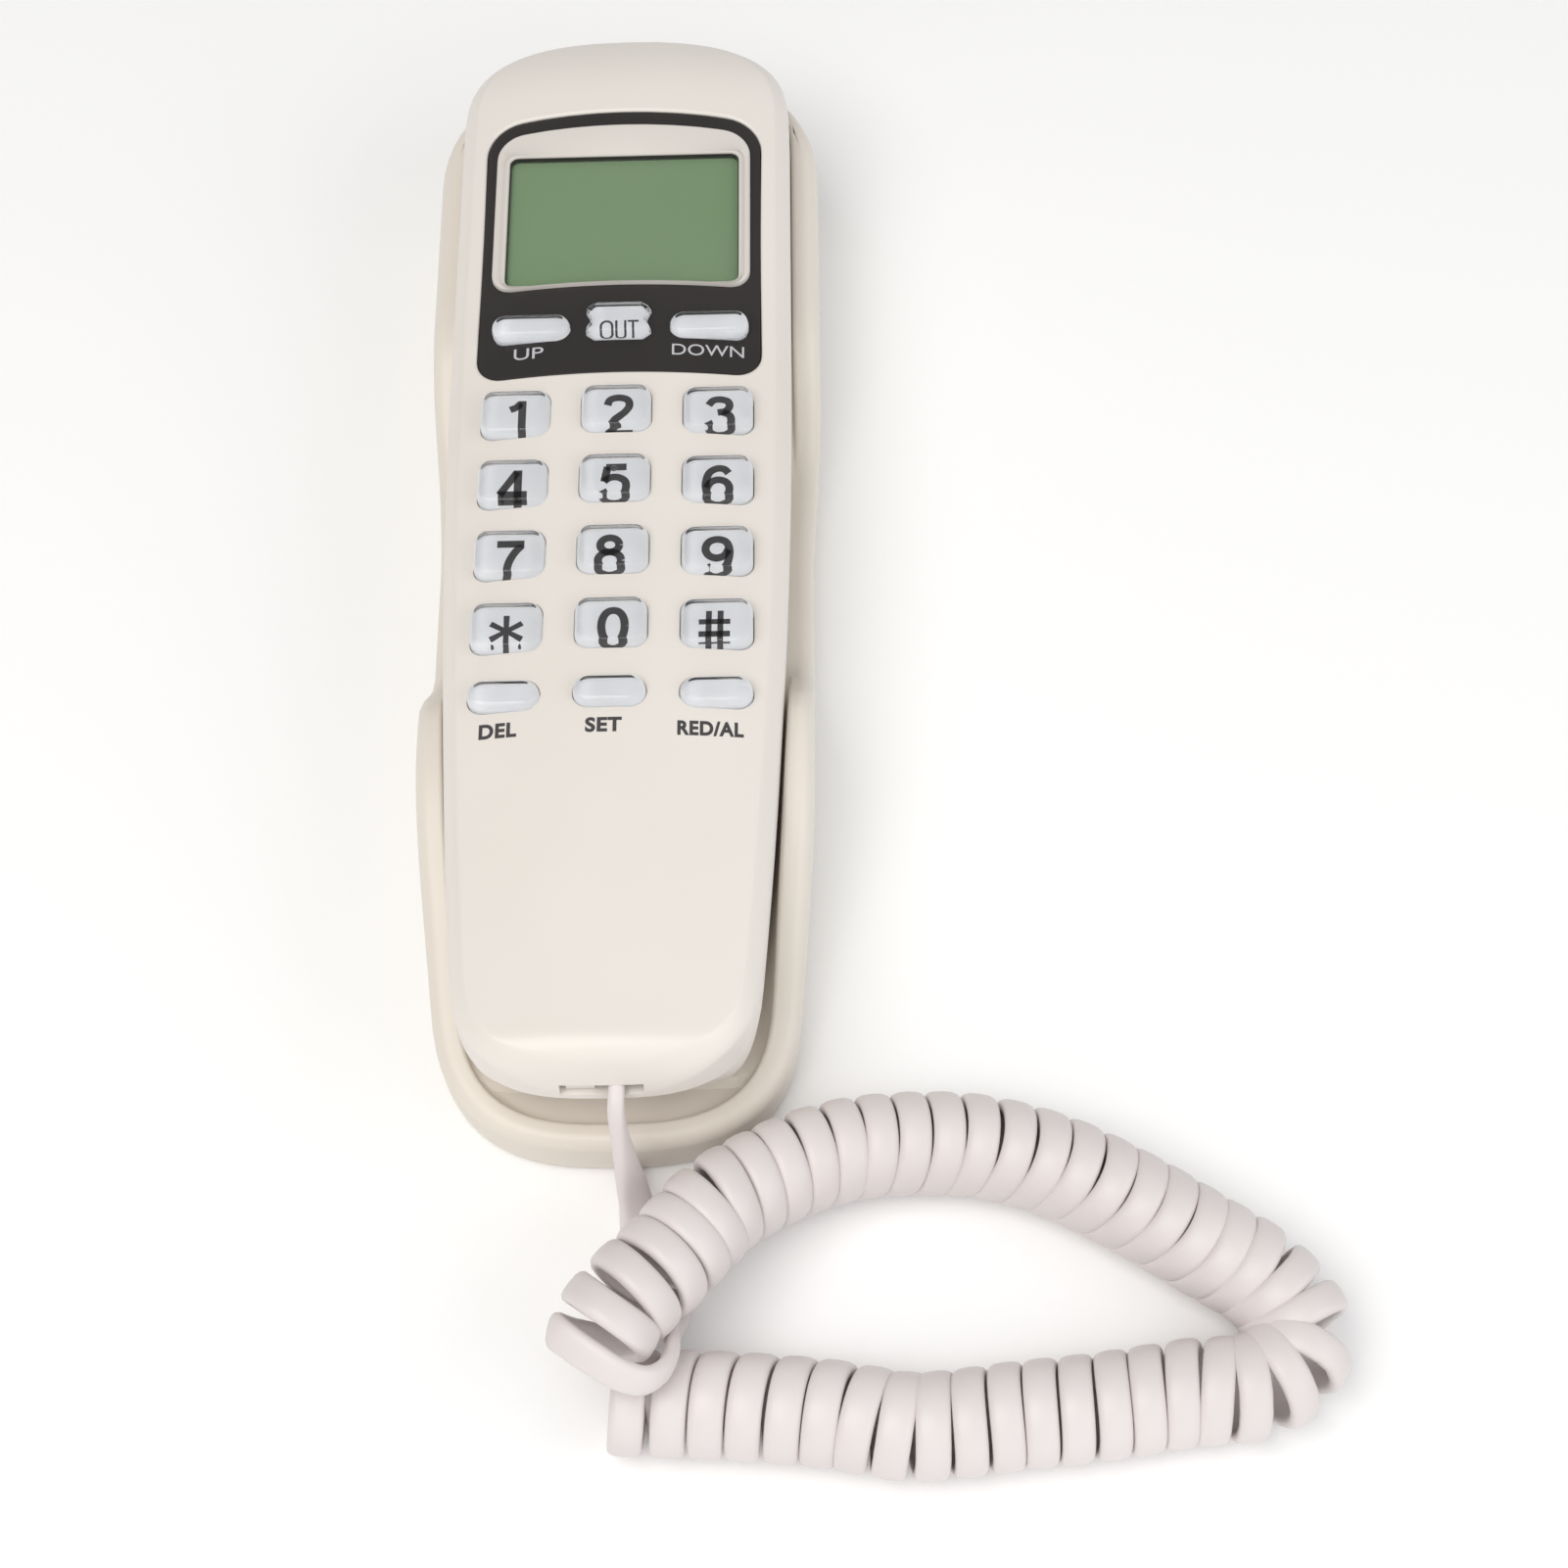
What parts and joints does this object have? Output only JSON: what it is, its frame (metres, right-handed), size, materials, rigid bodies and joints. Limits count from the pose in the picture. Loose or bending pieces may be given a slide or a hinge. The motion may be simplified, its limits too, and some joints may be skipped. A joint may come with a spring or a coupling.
{
  "type": "wall telephone",
  "caption": "Slim wall telephone lying on its back: handset with keypad and display in its cradle, and a coiled cord from the handset to the cradle.",
  "frame": {"origin": "middle of the cradle's footprint, on the plane of its flat back", "axes": "+Z out of the keypad, away from the wall; +Y towards the earpiece end; +X to the right of somebody reading the keys"},
  "size_m": [0.1465, 0.2628, 0.041],
  "materials": {
    "handset_plastic": "warm white moulded plastic, softly polished",
    "cradle_plastic": "warm white moulded plastic, softly polished",
    "overlay_plastic": "dark grey brown panel, polished",
    "key_plastic": "clear moulded plastic, polished",
    "window_plastic": "clear flat plastic",
    "lcd_glass": "grey green liquid crystal panel",
    "circuit_board": "green solder mask",
    "rubber_mat": "grey silicone rubber",
    "black_plastic": "black moulded plastic",
    "plated_metal": "zinc plated steel",
    "plug_plastic": "clear moulded plastic",
    "cord_plastic": "pinkish white cord jacket, satin"
  },
  "bodies": {
    "base": {"cradle_shell": "cradle_plastic", "back_plate": "cradle_plastic", "base_board": "circuit_board", "hook_switch_body": "black_plastic", "base_jack": "black_plastic", "base_plug": "plug_plastic", "line_jack": "black_plastic", "base_screw_upper": "plated_metal", "base_screw_lower": "plated_metal", "cord_coil": "cord_plastic", "cord_lead_base": "cord_plastic", "cord_lead_table": "cord_plastic"},
    "handset": {"handset_front_shell": "handset_plastic", "handset_rear_shell": "handset_plastic", "display_overlay": "overlay_plastic", "display_bezel": "handset_plastic", "display_window": "window_plastic", "lcd_panel": "lcd_glass", "main_board": "circuit_board", "keypad_mat": "rubber_mat", "receiver_capsule": "black_plastic", "microphone_capsule": "plated_metal", "ringer_disc": "plated_metal", "ballast_weight": "plated_metal", "handset_screw_upper": "plated_metal", "handset_screw_lower": "plated_metal", "handset_jack": "black_plastic", "handset_plug": "plug_plastic", "ringer_switch_body": "plated_metal", "cord_lead_handset": "cord_plastic"},
    "hook_plunger": {"hook_plunger": "cradle_plastic"},
    "ringer_switch_knob": {"ringer_switch_knob": "handset_plastic"},
    "key_0": {"key_0": "key_plastic"},
    "key_1": {"key_1": "key_plastic"},
    "key_2": {"key_2": "key_plastic"},
    "key_3": {"key_3": "key_plastic"},
    "key_4": {"key_4": "key_plastic"},
    "key_5": {"key_5": "key_plastic"},
    "key_6": {"key_6": "key_plastic"},
    "key_7": {"key_7": "key_plastic"},
    "key_8": {"key_8": "key_plastic"},
    "key_9": {"key_9": "key_plastic"},
    "key_del": {"key_del": "key_plastic"},
    "key_down": {"key_down": "key_plastic"},
    "key_hash": {"key_hash": "key_plastic"},
    "key_out": {"key_out": "key_plastic"},
    "key_redial": {"key_redial": "key_plastic"},
    "key_set": {"key_set": "key_plastic"},
    "key_star": {"key_star": "key_plastic"},
    "key_up": {"key_up": "key_plastic"}
  },
  "joints": [
    {"name": "handset_lift", "type": "slide", "parent": "base", "child": "handset", "axis": [0, 0, 1], "range_m": [0, 0.06]},
    {"name": "hook_plunger_rise", "type": "slide", "parent": "base", "child": "hook_plunger", "axis": [0, 0, 1], "range_m": [0, 0.002]},
    {"name": "ringer_switch_slide", "type": "slide", "parent": "handset", "child": "ringer_switch_knob", "axis": [1, 0, 0], "range_m": [-0.0006, 0.0006]},
    {"name": "key_0_press", "type": "slide", "parent": "handset", "child": "key_0", "axis": [0, 0, -1], "range_m": [0, 0.001], "stiffness_N_per_m": 600},
    {"name": "key_1_press", "type": "slide", "parent": "handset", "child": "key_1", "axis": [0, 0, -1], "range_m": [0, 0.001], "stiffness_N_per_m": 600},
    {"name": "key_2_press", "type": "slide", "parent": "handset", "child": "key_2", "axis": [0, 0, -1], "range_m": [0, 0.001], "stiffness_N_per_m": 600},
    {"name": "key_3_press", "type": "slide", "parent": "handset", "child": "key_3", "axis": [0, 0, -1], "range_m": [0, 0.001], "stiffness_N_per_m": 600},
    {"name": "key_4_press", "type": "slide", "parent": "handset", "child": "key_4", "axis": [0, 0, -1], "range_m": [0, 0.001], "stiffness_N_per_m": 600},
    {"name": "key_5_press", "type": "slide", "parent": "handset", "child": "key_5", "axis": [0, 0, -1], "range_m": [0, 0.001], "stiffness_N_per_m": 600},
    {"name": "key_6_press", "type": "slide", "parent": "handset", "child": "key_6", "axis": [0, 0, -1], "range_m": [0, 0.001], "stiffness_N_per_m": 600},
    {"name": "key_7_press", "type": "slide", "parent": "handset", "child": "key_7", "axis": [0, 0, -1], "range_m": [0, 0.001], "stiffness_N_per_m": 600},
    {"name": "key_8_press", "type": "slide", "parent": "handset", "child": "key_8", "axis": [0, 0, -1], "range_m": [0, 0.001], "stiffness_N_per_m": 600},
    {"name": "key_9_press", "type": "slide", "parent": "handset", "child": "key_9", "axis": [0, 0, -1], "range_m": [0, 0.001], "stiffness_N_per_m": 600},
    {"name": "key_del_press", "type": "slide", "parent": "handset", "child": "key_del", "axis": [0, 0, -1], "range_m": [0, 0.001], "stiffness_N_per_m": 600},
    {"name": "key_down_press", "type": "slide", "parent": "handset", "child": "key_down", "axis": [0, 0, -1], "range_m": [0, 0.001], "stiffness_N_per_m": 600},
    {"name": "key_hash_press", "type": "slide", "parent": "handset", "child": "key_hash", "axis": [0, 0, -1], "range_m": [0, 0.001], "stiffness_N_per_m": 600},
    {"name": "key_out_press", "type": "slide", "parent": "handset", "child": "key_out", "axis": [0, 0, -1], "range_m": [0, 0.001], "stiffness_N_per_m": 600},
    {"name": "key_redial_press", "type": "slide", "parent": "handset", "child": "key_redial", "axis": [0, 0, -1], "range_m": [0, 0.001], "stiffness_N_per_m": 600},
    {"name": "key_set_press", "type": "slide", "parent": "handset", "child": "key_set", "axis": [0, 0, -1], "range_m": [0, 0.001], "stiffness_N_per_m": 600},
    {"name": "key_star_press", "type": "slide", "parent": "handset", "child": "key_star", "axis": [0, 0, -1], "range_m": [0, 0.001], "stiffness_N_per_m": 600},
    {"name": "key_up_press", "type": "slide", "parent": "handset", "child": "key_up", "axis": [0, 0, -1], "range_m": [0, 0.001], "stiffness_N_per_m": 600}
  ],
  "couplings": [
    {"joint": "hook_plunger_rise", "follows": "handset_lift", "ratio": 0.033333}
  ]
}
